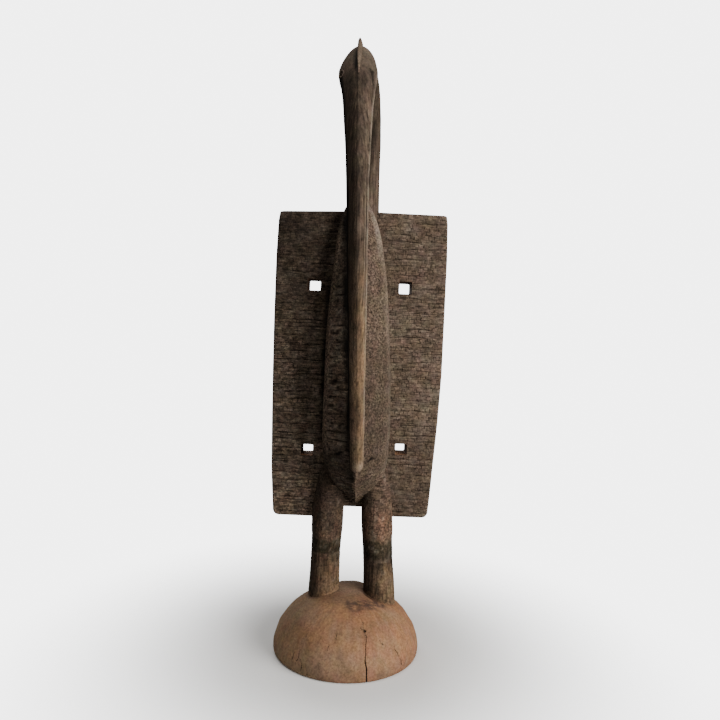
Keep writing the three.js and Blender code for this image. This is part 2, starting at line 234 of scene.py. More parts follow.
def makeBoard():
    # a grid of levels up the board by points round its section: each point lies at its share of the reach on
    # its own side, and the two faces are pushed in along the scored rows. There are levels at every edge and
    # bottom of the rows, strong and weak by turns
    row = np.arange(math.floor(boardHeight / board["rowPitch"]))
    strong = boardBottom + board["rowPitch"] * (row + 0.6 + 0.14 * np.sin(2.3 * row))
    weak = (strong[1:] + strong[:-1]) / 2 + 0.8 * np.sin(5.1 * row[1:])
    w = board["rowWidth"] / 2
    levels = [(boardBottom, 0.0), (boardBottom + 1.2, 0), (boardBottom + 3.5, 0)]
    for z in strong:
        levels += [(z - 2.2 * w, 0), (z - w, 0), (z, 1.0), (z + w, 0)]
    for z in weak:
        levels += [(z - 0.8 * w, 0), (z, 0.5), (z + 0.8 * w, 0)]
    levels += [(boardTop - 3.2, 0), (boardTop - 1.2, 0), (boardTop, 0)]
    levels = np.array(sorted(levels))
    z, cut = levels[:, :1], levels[:, 1:]
    # a section runs round the board: front face left to right, right edge, back face, left edge
    ease = board["edgeEase"]
    front = np.linspace(-1, 1, board["frontColumns"])
    back = np.linspace(1, -1, board["backColumns"])
    side = np.array([0.0, 0.5, 1.0])
    across = np.concatenate([front, np.ones(3), back, -np.ones(3)])
    depth = np.concatenate([np.zeros(len(front)), side, np.ones(len(back)), side[::-1]])
    onEdge = np.concatenate([np.zeros(len(front)), np.ones(3), np.zeros(len(back)), np.ones(3)])
    left, right = boardReach(z)
    endEase = ease * (2 - np.sqrt(unit((z - boardBottom) / ease)) - np.sqrt(unit((boardTop - z) / ease)))
    inset = (1 - onEdge) * ease
    x = np.where(across < 0, across * (left - inset), across * (right - inset))
    x = x - np.sign(across) * endEase * 0.3
    eased = onEdge * np.where(depth < 0.5, 1, -1) * ease * 0.9 * (np.abs(depth - 0.5) > 0.4)
    y = boardFront + 0.8 * endEase + (boardThickness - 1.6 * endEase) * depth + eased
    # the top edge rises towards the neck, and the bottom edge is higher on the right
    nearTop = unit((z - boardTop + 60) / 60)
    nearBottom = unit((boardBottom + 60 - z) / 60)
    corner, rise, neck, fall = board["topLift"]
    lift = nearTop * np.where(across < 0, corner + rise * (1 + across), neck - fall * across)
    lift = lift + nearBottom * np.where(across < 0, board["bottomLift"][-1], board["bottomLift"][1])
    lift = lift - board["leftDrop"] * (across < 0) * unit(np.abs(across) * 6)
    inside = unit((z - boardBottom) / 10) * unit((boardTop - z) / 10)
    here = np.stack([x, z + 0 * x, 0 * x], -1)
    # rows stray up and down along their length, as a hand-held tool leaves them
    grid = np.stack([x, y + 0 * x, z + lift + inside * layered(here, board["stray"])], -1)
    # the cut of each row comes and goes along its length, and the faces are a little uneven
    here = grid * (1, 0, 1)
    press = np.clip(0.62 + layered(here, [(0.6, (30, 1, 16), 7), (0.6, (9, 1, 8), 6)]), 0, 1.1)
    facing = np.where(depth < 0.01, 1.0, np.where(depth > 0.99, -0.75, 0.0)) * (1 - onEdge)
    grid[..., 1] += facing * (press * cut * board["rowDepth"] - layered(here, board["uneven"]))
    # dark dirt lies in the rows; on the front, painted shadow of the body darkens the top of the left wing
    # near the neck and the wing beside the body, and the right wing is darker above and below
    dirtAndShade = board["sootAndShade"]
    shade = (x < -20) * easeStep(z, 560, 780) * (dirtAndShade["topLeftShade"] + 0.2 * grain(here, (40, 1, 40), 5))
    shade = shade + dirtAndShade["topRight"] * (x > 20) * easeStep(z, 640, 720)
    shade = shade + dirtAndShade["lowRight"] * (x > 20) * easeStep(z, 440, 380)
    bodyShadow = dirtAndShade["bodyShadow"] * easeStep(x, -84, -68) * (x < 0) * between(z, 380, 430, 700, 760)
    patch = 0.22 * unit(layered(here, [(1.0, (55, 1, 45), 10), (0.3, (14, 1, 10), 11)]))
    flecks = unit(grain(here, (10, 1, 6), 19))
    patch = patch + 0.4 * flecks * (x < -20) * (1 - 0.7 * easeStep(z, 560, 700))
    inRows = dirtAndShade["rows"] * press * cut * np.abs(facing)
    sootAndShade = strongest(inRows, (depth < 0.3) * strongest(shade, bodyShadow)) + patch
    pale = 0.2 * unit(-grain(here, (45, 1, 30), 12))
    pale = pale + np.where(x < 0, 0.5, 0.25) * unit(grain(here, (12, 1, 5), 20))
    rough = np.where(x < 0, 1.0, 0.3)
    slab = newMesh("wing_board", grid, {"sootAndShade": sootAndShade, "pale": pale, "scored": 1 - onEdge, "rough": rough})
    tools = [holeTool(*hole) for hole in board["holes"]]
    a, b, top = board["crotch"]
    tools.append(boxMesh("crotch_cut", (a, 0, boardBottom - 20), (b, 90, boardBottom + top)))
    return joined(slab, tools, "DIFFERENCE")


def holeTool(mid, up, wide, high, bareAndLit, widen):
    # a square peg with slightly bowed sides and soft corners, carried through the board, narrower behind
    angle = ringAngles(board["holeSides"])
    c, s = np.cos(angle), np.sin(angle)
    sideways = np.sign(c) * np.abs(c) ** board["squareness"] * wide / 2
    upwards = np.sign(s) * np.abs(s) ** board["squareness"] * high / 2
    depth, grow = np.array(board["holeRings"], float).T[..., None]
    start, end = board["mouthEnd"]
    mouth = widen * unit((end - depth) / (end - start))
    across = mid + sideways * grow + mouth * (c > 0.1) * (mid > 0)
    rise = boardBottom + up + upwards * grow - mouth * (s < -0.1)
    grid = np.stack([across, depth + 0 * across, rise], -1)
    # the sill is bare wood painted pale as if lit through the hole from behind, and the other walls are
    # painted dark as shade
    sill = np.where(s < -0.4, bareAndLit, 0.1)[::-1]
    return newMesh("hole", grid[:, ::-1], {"bare": sill, "red": 0.8, "sootAndShade": 0.55 * (1 - sill)})


# The body: a long keeled pod with smooth borders, finely punched on the right and cut in blocks on the left.
body = {
    "halfWidth": 66.5,
    "depth": 124.0,
    "rings": 360,
    "sideSteps": 34,
    "blockPitch": 15.4,
    "blockDepth": 1.9,
    "blockStray": [(2.2, (40, 40, 60), 13), (1.2, (9, 30, 12), 15)],
    "uneven": [(0.7, (38, 38, 46), 11), (0.45, (12, 12, 15), 12)],
    # height up the board, sideways drift, half width and depth as shares of the largest
    "levels": [
        (0.05, 0.09, 0.04, 0.09), (0.088, 0.09, 0.34, 0.33), (0.115, 0.06, 0.575, 0.5),
        (0.142, 0.06, 0.735, 0.66), (0.17, 0.06, 0.86, 0.8), (0.206, 0.04, 0.945, 0.93),
        (0.245, 0.03, 0.985, 0.985), (0.29, 0.03, 1.0, 1.0), (0.37, 0.02, 1.0, 0.98),
        (0.45, 0.01, 0.99, 0.94), (0.55, -0.02, 0.965, 0.875), (0.63, -0.04, 0.93, 0.81),
        (0.74, -0.05, 0.86, 0.7), (0.86, -0.08, 0.74, 0.55), (0.942, -0.13, 0.62, 0.41),
        (1.0, -0.17, 0.45, 0.26), (1.04, -0.19, 0.2, 0.14),
    ],
    # half of one level section, from the wall over the rounded shoulder to the keel: across, outward
    "flank": [(0.9, -0.08), (0.95, 0.12), (1.0, 0.38), (0.955, 0.53), (0.83, 0.665), (0.45, 0.855), (0, 1)],
    "gouge": (34, 389, 4.6, 2.4),  # across, height, width and depth of the one slip of the tool
    # painted shade on the left: the bill's shadow along it, and shade high up, by the keel, low down and on
    # the shoulder;
    # darker on the lower right; painted shade where the walls meet the board; dirt in the cuts and in the
    # slip
    "sootAndShade": {
        "billShadow": 0.9, "high": 0.55, "keelShade": 0.53, "low": 0.6, "shoulder": 0.5, "lowerRight": 0.3,
        "shadeAtBoard": 0.6, "cuts": 0.95, "gouge": 0.9,
    },
}


def makeBody():
    # each section is the flank and its mirror image, scaled by the half width and depth of its level; the
    # skin then moves along its outward direction by dents, block cuts and the raised border
    row = smoothRows(body["levels"], np.linspace(0, 1, body["rings"]))
    z = boardBottom + row[:, :1] * boardHeight
    side = smoothRows(body["flank"], np.linspace(0, 1, body["sideSteps"]))
    ring = np.vstack([side * (-1, 1), side[-2::-1]])
    out = ring[:, 1]
    x = (row[:, 1:2] + ring[:, 0] * row[:, 2:3]) * body["halfWidth"]
    y = boardFront - out * row[:, 3:4] * body["depth"] + np.where(out < 0, 4.0, 0.0)
    grid = np.stack([x, y, z + 0 * x], -1)
    n = outward(grid)
    facet = unit((out - 0.62) / 0.05) * unit((0.99 - out) / 0.04)
    border = bell(out, 0.55, 0.09) + 0.7 * bell(z, boardTop + 14, 8) * (out > 0.3)
    left = np.where(ring[:, 0] < 0, 1.0, 0.08) * facet
    # rows of blocks: cuts that come and go, and pits where two of them meet
    phase = (z + layered(grid, body["blockStray"])) / body["blockPitch"]
    line = bell(phase % 1, 0.5, 0.12)
    broken = unit(0.62 + 1.2 * grain(grid, (9, 30, 9), 14)) * (1 - 0.5 * easeStep(z, 440, 380))
    pits = unit(3.0 * grain(grid, (6, 6, 6), 16) - 1.0)
    cut = np.maximum(line * broken, 0.9 * pits) * left
    slipSide, slipHeight, slipWidth, slipDepth = body["gouge"]
    gouge = bell(x - 0.8 * (z - slipHeight), slipSide, slipWidth) * bell(z, slipHeight, 5) * (out > 0.5)
    shift = layered(grid, body["uneven"]) * (0.35 + 0.65 * facet)
    shift = shift - body["blockDepth"] * cut + 1.2 * border - 0.6 * facet
    shift = shift - slipDepth * gouge
    grid = grid + n * np.where(out > 0.1, shift, 0)[..., None]
    # painted shade on the left side: the bill's shadow along it, as the bill stands just in front of the
    # keel, and shade high up, by the keel, low down and on the shoulder
    dirtAndShade = body["sootAndShade"]
    billEdge = -13 - 0.054 * (z - 430)
    reach = 5 + 15 * easeStep(z, 520, 640)
    billShadow = dirtAndShade["billShadow"] * easeStep(x, billEdge - reach, billEdge - 2) * easeStep(z, 375, 400)
    high = easeStep(z, 600, 690) * (dirtAndShade["high"] - 0.3 * bell(out, 0.55, 0.1))
    keelShade = easeStep(out, 0.7, 0.97) * (dirtAndShade["keelShade"] + 0.3 * easeStep(z, 395, 365))
    low = dirtAndShade["low"] * easeStep(z, 430, 385)
    shoulder = dirtAndShade["shoulder"] * bell(out, 0.45, 0.14) * between(z, 520, 600, 690, 760)
    shade = (x < 0) * (out > 0.3) * strongest(billShadow, high, keelShade, low, shoulder)
    # the right side is darker below the middle, and both walls are painted with shade where they meet the
    # board
    shade = shade + dirtAndShade["lowerRight"] * (x > 0) * (out > 0.3) * between(z, 340, 390, 560, 660)
    shade = shade + dirtAndShade["shadeAtBoard"] * easeStep(out, 0.3, 0.05) * unit(0.8 + grain(grid, (9, 9, 9), 19))
    sootAndShade = strongest(dirtAndShade["cuts"] * cut, shade) + dirtAndShade["gouge"] * gouge
    sootAndShade = sootAndShade + 0.2 * unit(grain(grid, (30, 30, 40), 17))
    # its border on the right is rubbed and painted pale as a lit edge, the upper right wall is rubbed pale,
    # and so are the blocks on the left
    onRight = ring[:, 0] > 0
    wall = 0.9 * easeStep(z, 740, 860) * (out > 0.25) * (out < 0.72) * (ring[:, 0] > -0.3)
    pale = strongest(0.3 * border * onRight, wall) * (0.8 + 0.4 * grain(grid, (9, 9, 14), 18))
    onBlocks = left * (ring[:, 0] < 0)
    pale = pale + 0.8 * onBlocks * (1 - cut) * unit(0.2 + grain(grid, (10, 10, 8), 22))
    return newMesh("body", grid, {
        "sootAndShade": sootAndShade, "pale": pale, "stipple": facet * np.where(onRight, 0.9, 0.35),
        "rough": np.where(onRight, 0.35, 1.0) + 0 * z, "scored": onBlocks * (1 - 0.7 * easeStep(z, 620, 700)),
    })


# The legs: round columns from inside the plinth up to the flanks, with a dark band below the middle.
legs = {
    "radius": 30.5,
    "forward": 7.0,
    "spread": {-1: (48.5, 51.0), 1: (50.7, 60.5)},  # from the middle to the axis, at the hip and at the foot
    "band": {-1: (186, 214), 1: (178, 212)},  # lowest and highest height
    "hipRise": 10.0,  # the hip lies this far above the board's bottom
    "lean": 12.0,  # the foot stands this far in front of the hip
    "footHeight": 105.0,
    "root": 50.0,  # how far a leg runs on inside the plinth
    "swell": (1.02, 0.97, 1.056),  # shares of the radius at the foot, at 0.45 of the height and at the hip
    # above the hip, inside the flank: how far inwards, back and up, then the share of the radius
    "top": [(3, 2, 50, 0.97), (7, 4, 90, 0.8), (12, 8, 115, 0.45)],
    "rings": 100,
    "around": 60,
    # adzed skin, the edges of the band, wear, and the line where the patina ends above the plinth
    "seed": {-1: 21, 1: 25},
    "uneven": [(1.1, (22, 22, 70), 0), (0.6, (8, 8, 26), 1), (0.35, (4, 4, 12), 2)],
    "ragged": [(3.0, (6, 6, 6), 3), (2.2, (22, 22, 22), 4)],
    "worn": [(1.0, (26, 26, 44), 5), (0.5, (8, 8, 20), 6)],
    "lowLine": [(7.0, (12, 12, 12), 8), (3.0, (5, 5, 5), 9)],
    # dirt and painted shade: shade up the left side, dirt below the band, the body's shadow above it on the
    # left leg, shade on that leg's inner side and at the top under the body, and the most they may reach
    "sootAndShade": {"leftShade": 0.55, "foot": 0.46, "leftLegShadow": 0.32, "inner": 0.18, "top": 0.25, "most": 0.7},
}


def legAxis(side):
    # a leg's axis is a straight line between these two points
    hipSpread, footSpread = legs["spread"][side]
    hip = np.array([side * hipSpread, boardFront - legs["forward"], boardBottom + legs["hipRise"]])
    foot = np.array([side * footSpread, boardFront - legs["forward"] - legs["lean"], legs["footHeight"]])
    return hip, foot


def makeLeg(side):
    # level circles round the axis, with a radius that swells along it, moved in and out by the adze noise
    hip, foot = legAxis(side)
    down = (foot - hip) / np.linalg.norm(foot - hip)
    low, middle, high = legs["swell"]
    stations = [
        (*(foot + legs["root"] * down), 1.0), (*foot, low), (*(foot + 0.45 * (hip - foot)), middle),
        (*hip, high),
        *[(*(hip + (-side * inward, back, up)), share) for inward, back, up, share in legs["top"]],
    ]
    row = smoothRows(stations, np.linspace(0, 1, legs["rings"]))
    angle = ringAngles(legs["around"])
    radius = row[:, 3:4] * legs["radius"] + 0 * angle
    x = row[:, 0:1] + radius * np.cos(angle)
    y = row[:, 1:2] + radius * np.sin(angle)
    grid = np.stack([x, y, row[:, 2:3] + 0 * radius], -1)
    n = outward(grid)
    z = grid[..., 2]
    seed = legs["seed"][side]
    low, high = legs["band"][side]
    ragged = z + layered(grid, legs["ragged"], seed)
    band = between(ragged, low - 1.5, low + 1.5, high - 1.5, high + 1.5)
    edge = bell(ragged, low - 1, 1.8) + bell(ragged, high + 1, 1.8)
    # long shallow adze facets and finer cuts, and a shallow incised line along both edges of the band
    shift = layered(grid, legs["uneven"], seed) - 0.6 * edge
    grid = grid + n * shift[..., None]
    c = np.cos(angle)
    worn = layered(grid, legs["worn"], seed)
    aboveBand, top = easeStep(z, 170, 215), easeStep(z, 262, 300)
    red = unit(0.3 + 0.6 * worn) * (1 - 0.8 * top)
    if side > 0:
        # a red stain above the right band
        red = strongest(red, bell(z, 250, 30) * easeStep(c, -0.4, 0.3) * (0.75 + 0.3 * worn))
    red = red * (0.45 + 0.55 * easeStep(z, 150, 215))
    tan = 0.95 * easeStep(z, 186, 150) * easeStep(c, -1.0, 0.4) * unit(0.7 + 0.4 * worn)
    # painted shade on each leg's left side, the left leg's inner side and the top, and the body's shadow on
    # the left leg
    dirtAndShade = legs["sootAndShade"]
    sootAndShade = dirtAndShade["leftShade"] * easeStep(c, -0.25, -0.95) + 0.3 * unit(-worn) + dirtAndShade["top"] * top
    sootAndShade += (dirtAndShade["foot"] + 0.2 * grain(grid, (5, 5, 40), seed + 12)) * (1 - aboveBand)
    if side < 0:
        sootAndShade += dirtAndShade["inner"] * easeStep(c, 0, 0.4) * easeStep(z, 210, 225) + dirtAndShade["leftLegShadow"] * aboveBand
    # dark flecks in the adzed skin
    sootAndShade += 0.3 * unit(3 * grain(grid, (6, 6, 7), seed + 10) - 1.1)
    sootAndShade = strongest(np.minimum(sootAndShade, dirtAndShade["most"]), 0.2 * edge)
    scored = easeStep(z, 268, 300)
    pale = 0.35 * bell(ragged, low - 2.5, 2) * (grain(grid, (9, 9, 9), seed + 7) > -0.1)
    pale = pale + 0.35 * unit(3 * grain(grid, (7, 7, 9), seed + 11) - 1.2)
    # the dark patina ends in a ragged line a few millimetres above the plinth
    line = z + layered(grid, legs["lowLine"], seed)
    reach = np.hypot(grid[..., 0] + birdShift[0], grid[..., 1] + birdShift[1])
    bare = 0.85 * easeStep(line - domeHeight(reach), 9, 1)
    # the bands are worn through in flecks
    pale = pale + (0.35 if side < 0 else 0.6) * band * unit(4 * grain(grid, (4, 4, 4), seed + 14) - 1.7)
    band = band * np.clip(1.0 + 0.7 * grain(grid, (4, 4, 4), seed + 13), 0.4, 1) * (1.0 if side < 0 else 0.92)
    return newMesh("leg", grid, {
        "red": red, "tan": tan, "sootAndShade": sootAndShade, "band": band, "pale": pale, "scored": scored, "bare": bare,
        "grain": (1 - scored) * (0.9 - 0.45 * aboveBand), "rough": 0.75,
    })


# Neck, head and bill: one crook that rises from the board, turns over at the head and comes down to the
# keel. Its stations count from 0 in the board over 6.5 on the head to 16 at the tip of the bill.
crook = {
    "neckHalfWidth": 31.0,
    "neckHalfDepth": 30.0,
    "headRise": 312.0,
    "headHalfWidth": 38.3,
    "headTurn": -19.5,
    "tipHalfWidth": 13.2,
    "rootHalfWidth": 31.0,
    "rootInner": 0.68,  # inner depth at the bill's root, as a share of the half width there
    "billSpread": 5.8,  # how much its half width grows from the tip to the root
    "billSwell": 0.7,
    "outerDepth": (13.0, 25.0),  # of the bill at its tip and towards its root, in front of its middle
    "innerDepth": (10.0, 16.0),
    "ridge": (0.12, 0.45),  # 0 is round and 1 a sharp ridge
    "bow": 58.0,
    "tipSide": 4.8,
    "tipDrop": 37.0,  # below the height where the keel is fullest
    "tipLength": 13.0,
    "ridgeSide": -1.2,
    "perStation": 23,
    "around": 84,
    "mouthAngle": 0.3,  # radians round the section, forward of the widest line
    "mouthDepth": 2.0,
    "rimHeight": 1.0,
    "uneven": [(0.5, (16, 16, 60), 31), (0.3, (5, 5, 26), 32), (0.5, (30, 30, 36), 33)],
    # the opening behind the brow: its upper and lower edge as station and angle
    "wedgeTop": [(7.34, 0.45), (7.38, 0.78), (7.5, 0.68), (7.6, 0.56), (7.7, 0.42), (7.85, 0.2)],
    "wedgeLow": [(7.34, 0.42), (7.5, 0.26), (7.6, 0.2), (7.85, 0.12)],
    "pit": (9, 791, 2.4, 1.8),  # across, height, width and depth of the small knot in the bill
    # painted shade and dirt: shade on the left side of the bill and along its edge, on the front, along its
    # ridge and at its top, dirt in the mouth line, shadow under the brow, shade on the inner side, under the
    # chin and in the crease beside the bill's root, dirt in flecks and mottle, shade on the head
    "sootAndShade": {
        "leftShade": 0.58, "leftEdgeShade": 0.95, "front": 0.56, "ridge": 0.25, "top": 0.28, "mouth": 0.75,
        "brow": 0.98, "inside": 0.9, "chinShade": 0.8, "creaseShade": 0.95, "flecks": 0.72, "mottle": 0.5, "head": 0.28,
    },
}


def crookRows():
    # centre across, forward of the board's middle, height, half width, outer depth, inner depth, ridge. Neck
    # and head are given row by row; the bill runs straight from its root to its tip, bowed forward by a sine
    w, d, h, turn = crook["neckHalfWidth"], crook["neckHalfDepth"], crook["headHalfWidth"], crook["headTurn"]
    headTop = boardTop + crook["headRise"]
    share = lambda s: boardBottom + s * boardHeight
    up = lambda s: boardTop + s * crook["headRise"]
    rows = [
        (0, 0, share(0.46), 0.5 * w, 0.4 * d, 0.4 * d, 0),
        (0, 0, share(0.72), 0.85 * w, 0.82 * d, 0.8 * d, 0),
        (0, 0, share(0.96), 1.03 * w, d, 1.05 * d, 0),
        (0, 1, up(0.29), 0.965 * w, 0.97 * d, 0.97 * d, 0),
        (0, 7, up(0.6), 0.94 * w, d, 0.92 * d, 0.05),
        (0.43 * turn, 29, up(0.79), 0.84 * h, 0.86 * h, 0.7 * h, 0.12),
        (0.925 * turn, 68, headTop - h, 0.866 * h, 1.13 * h, 0.68 * h, 0.16),
        (1.09 * turn, 109, up(0.805), 1.005 * h, h, 0.7 * h, 0.42),
    ]
    root = (0.97 * turn, 142, up(0.64))
    tip = (crook["tipSide"], boardMiddle - boardFront + body["depth"], share(0.27) - crook["tipDrop"])
    tipOuter, rootOuter = crook["outerDepth"]
    tipInner, rootInner = crook["innerDepth"]
    tipRidge, rootRidge = crook["ridge"]
    for s in (1, 0.91, 0.79, 0.65, 0.5, 0.34, 0.19, 0.07, 0):
        bulk = s**6
        rows.append((
            tip[0] + s * (root[0] - tip[0]),
            tip[1] + s * (root[1] - tip[1]) + crook["bow"] * math.sin(math.pi * s**1.3),
            tip[2] + s * (root[2] - tip[2]),
            (crook["tipHalfWidth"] + crook["billSpread"] * s**0.6 + crook["billSwell"] * bell(s, 0.5, 0.16))
            * (1 - bulk) + crook["rootHalfWidth"] * bulk,
            (tipOuter + (rootOuter - tipOuter) * s) * (1 - bulk) + crook["rootHalfWidth"] * bulk,
            (tipInner + (rootInner - tipInner) * s) * (1 - bulk)
            + crook["rootInner"] * crook["rootHalfWidth"] * bulk,
            tipRidge + (rootRidge - tipRidge) * float(easeStep(s, 0.25, 0.6)),
        ))
    return np.array(rows, float)


def crookFrame(at):
    # centres, outward directions, sizes and tangents at stations counted along the crook
    rows = crookRows()
    last = len(rows) - 1
    read = smoothRows(rows, np.asarray(at) / last)
    step = 0.02
    ahead = smoothRows(rows, np.minimum(np.asarray(at) + step, last) / last)
    behind = smoothRows(rows, np.maximum(np.asarray(at) - step, 0) / last)
    along = (ahead - behind)[:, :3] * (1, -1, 1)
    along /= np.linalg.norm(along, axis=1, keepdims=True)
    out = np.stack([0 * along[:, 0], along[:, 2], -along[:, 1]], -1)
    out /= np.linalg.norm(out, axis=1, keepdims=True)
    centre = np.stack([read[:, 0], boardMiddle - read[:, 1], read[:, 2]], -1)
    return centre, out, read[:, 3:], along


def makeCrook():
    # one section: the outer side blends from an ellipse to a ridge, and the inner side is a little squared
    last = len(crookRows()) - 1
    at = np.linspace(0, last, last * crook["perStation"] + 1)
    centre, out, size, along = crookFrame(at)
    # the blunt tip: the last section carried on and drawn in on a quarter circle
    turn = np.linspace(0, 1, 8)[1:-1] * math.pi / 2
    centre = np.vstack([centre, centre[-1] + np.sin(turn)[:, None] * crook["tipLength"] * along[-1]])
    out = np.vstack([out, np.repeat(out[-1:], len(turn), 0)])
    size = np.vstack([size, np.repeat(size[-1:], len(turn), 0)])
    shrink = np.concatenate([np.ones(len(at)), np.cos(turn)])[:, None]
    station = np.concatenate([at, np.full(len(turn), float(last))])[:, None]
    half, outer, inner, ridge = (size[:, k : k + 1] for k in range(4))
    angle = ringAngles(crook["around"])
    c, s = np.cos(angle), np.sin(angle)
    toRidge = 1 - np.abs(1 - angle / (math.pi / 2))
    blend = ridge * np.where(c < 0, 1.2, 0.75)
    ridgeSide = crook["ridgeSide"] * easeStep(ridge, 0.2, 0.4)
    acrossOut = half * ((1 - blend) * c + blend * np.sign(c) * (1 - toRidge)) + ridgeSide * toRidge
    outOut = outer * ((1 - blend) * s + blend * toRidge)
    acrossIn = half * np.sign(c) * np.abs(c) ** 0.8
    outIn = -inner * np.abs(s) ** 0.85
    across = np.where(s >= 0, acrossOut, acrossIn)
    rise = np.where(s >= 0, outOut, outIn)
    # the mouth line runs forward of the widest line on both sides as a fine cut, with the lower half of the
    # bill standing out behind it as a rim; on the right it opens behind the brow into a small wedge
    fromSide = lambda middle: np.minimum(*(
        np.abs((turned - middle + math.pi) % (2 * math.pi) - math.pi) for turned in (angle, math.pi - angle)
    ))
    wedgeTop = np.interp(station, *zip(*crook["wedgeTop"]))
    wedgeLow = np.interp(station, *zip(*crook["wedgeLow"]))
    wedge = between(angle, wedgeLow, wedgeLow + 0.08, wedgeTop - 0.08, wedgeTop + 0.02)
    wedge = wedge * between(station, 7.3, 7.37, 7.82, 7.95)
    # a painted shadow under the brow
    brow = bell(angle, wedgeTop, 0.12) * between(station, 7.3, 7.36, 7.78, 7.9)
    fine = between(station, 7.6, 8.0, 12.6, 14) * (0.35 + 0.65 * easeStep(station, 9.8, 10.4))
    mouth = strongest(bell(fromSide(crook["mouthAngle"]), 0, 0.1) * fine, wedge)
    rim = 1.15 * bell(fromSide(-0.01), 0, 0.15) * easeStep(station, 7.0, 7.35)
    rim = rim * (1 - 0.6 * easeStep(station, 12.5, 15))
    pull = crook["rimHeight"] * (rim - 1) - crook["mouthDepth"] * (mouth + 0.5 * wedge)
    pull = (1 + pull / np.maximum(half, 1)) * shrink
    grid = centre[:, None] + (rise * pull)[..., None] * out[:, None]
    grid[..., 0] += across * pull
    n = outward(grid)
    x, z = grid[..., 0] - centre[:, :1], grid[..., 2]
    onBill, onFront = easeStep(station, 7.3, 7.9), s > 0
    pitSide, pitHeight, pitWidth, pitDepth = crook["pit"]
    pit = bell(x, pitSide, pitWidth) * bell(z, pitHeight, 5) * onFront * onBill
    shift = (layered(grid, crook["uneven"]) - pitDepth * pit) * shrink
    grid = grid + n * shift[..., None]
    dirtAndShade = crook["sootAndShade"]
    share = x / half
    # painted shade down the bill's left side and along its left edge
    leftShade = onBill * easeStep(-share, 0.0, 0.35) * (dirtAndShade["leftShade"] - 0.3 * easeStep(z, 700, 560))
    leftEdgeShade = dirtAndShade["leftEdgeShade"] * easeStep(station, 7.1, 7.25) * easeStep(-share, 0.68, 0.92)
    # painted shade: the front is darkest along its ridge and grows lighter towards the rim on the right, and
    # is darker near the head
    front = dirtAndShade["front"] - 0.42 * easeStep(share, -0.05, 0.85) + dirtAndShade["ridge"] * bell(share, -0.07, 0.09)
    front = front * onBill * (0.85 + 0.15 * easeStep(station, 8.6, 10.4)) * easeStep(share, -0.2, -0.06)
    front = front + dirtAndShade["top"] * (c > -0.3) * between(station, 6.5, 7.0, 7.4, 9.0)
    front = onFront * np.minimum(front * (1 + 0.4 * grain(grid, (6, 6, 34), 38)), 0.7)
    # a painted shadow in the crease beside the bill's root
    creaseShade = dirtAndShade["creaseShade"] * bell(grid[..., 0], -25.0, 3.3) * onFront * between(station, 6.5, 6.9, 7.5, 7.8)
    # painted shade on the neck's front where it goes in under the head, next to the bill
    chinEdge = 5 + 0.06 * (z - 900)
    chinShade = easeStep(z, 880, 985) * easeStep(grid[..., 0], chinEdge + 11, chinEdge)
    chinShade = chinShade * (1 - 0.4 * easeStep(z, 1040, 1090))
    chinShade = (station < 6.2) * (s < 0.3) * strongest(chinShade, 0.5 * between(z, 925, 975, 1090, 1110))
    # painted shade on the crook's inner side, which faces the body
    inside = dirtAndShade["inside"] * easeStep(-s, 0.05, 0.4)
    flecks = dirtAndShade["flecks"] * unit(4 * grain(grid, (5, 5, 9), 34) - 2.2)
    mottle = dirtAndShade["mottle"] * unit(2.6 * grain(grid, (7, 7, 13), 40) - 0.45) * easeStep(z, 520, 640)
    # painted shade on the head, more on its left
    head = bell(station, 6.5, 1.2)
    sootAndShade = strongest(
        leftShade, leftEdgeShade, dirtAndShade["mouth"] * mouth + 0.08 * wedge, dirtAndShade["brow"] * brow, dirtAndShade["chinShade"] * chinShade,
        strongest(inside, flecks, mottle) * onBill, front, creaseShade, 0.95 * pit,
    )
    sootAndShade = sootAndShade + 0.25 * unit(grain(grid, (26, 26, 60), 35))
    sootAndShade = sootAndShade + (dirtAndShade["head"] + 0.08 * (x < -6)) * head * onFront
    tan = onBill * easeStep(z, 830, 600) * (0.3 + 0.7 * easeStep(x, -8, 6)) * (s > -0.1)
    tan = tan * unit(0.95 + 0.7 * grain(grid, (8, 8, 30), 36))
    # rubbed pale: a line in front of the rim, the head and the grey tip; the rim on the right is rubbed and
    # painted pale as a highlight, and the lit right edge is a painted highlight
    onRight = (c > 0) * (station > 6.6)
    line = 0.45 * bell(angle, 0.52, 0.09) * onBill * bell(station, 11.8, 1.6)
    pale = strongest(np.minimum(1.4 * rim, 0.75), line) * onRight
    pale = pale * unit(0.85 + 0.5 * grain(grid, (6, 6, 20), 37)) * (1 - mouth)
    lit = 0.6 * bell(share, 0.9, 0.07) * onFront * between(station, 11.6, 12.6, 15.2, 15.8)
    lit = lit * unit(0.8 + grain(grid, (5, 5, 16), 39))
    tip = 0.5 * easeStep(station, last - 0.35, last) * (s > -0.1) * easeStep(x, -9, -3)
    pale = strongest(pale, 0.3 * head * onFront, lit, tip)
    return newMesh("crook", grid, {
        "sootAndShade": sootAndShade * (1 - 0.6 * pale), "tan": tan, "pale": pale, "grain": 1 - 0.7 * head,
        "rough": 0.3 * (1 - head),
    })


# The crest: a thorn-shaped blade on the crown that runs down the forehead as a low rib.
crest = {"rise": 12.2, "ribRise": 3.4, "halfWidth": 5.2, "foot": 7.0, "first": 5.2, "end": 7.75, "rings": 70}


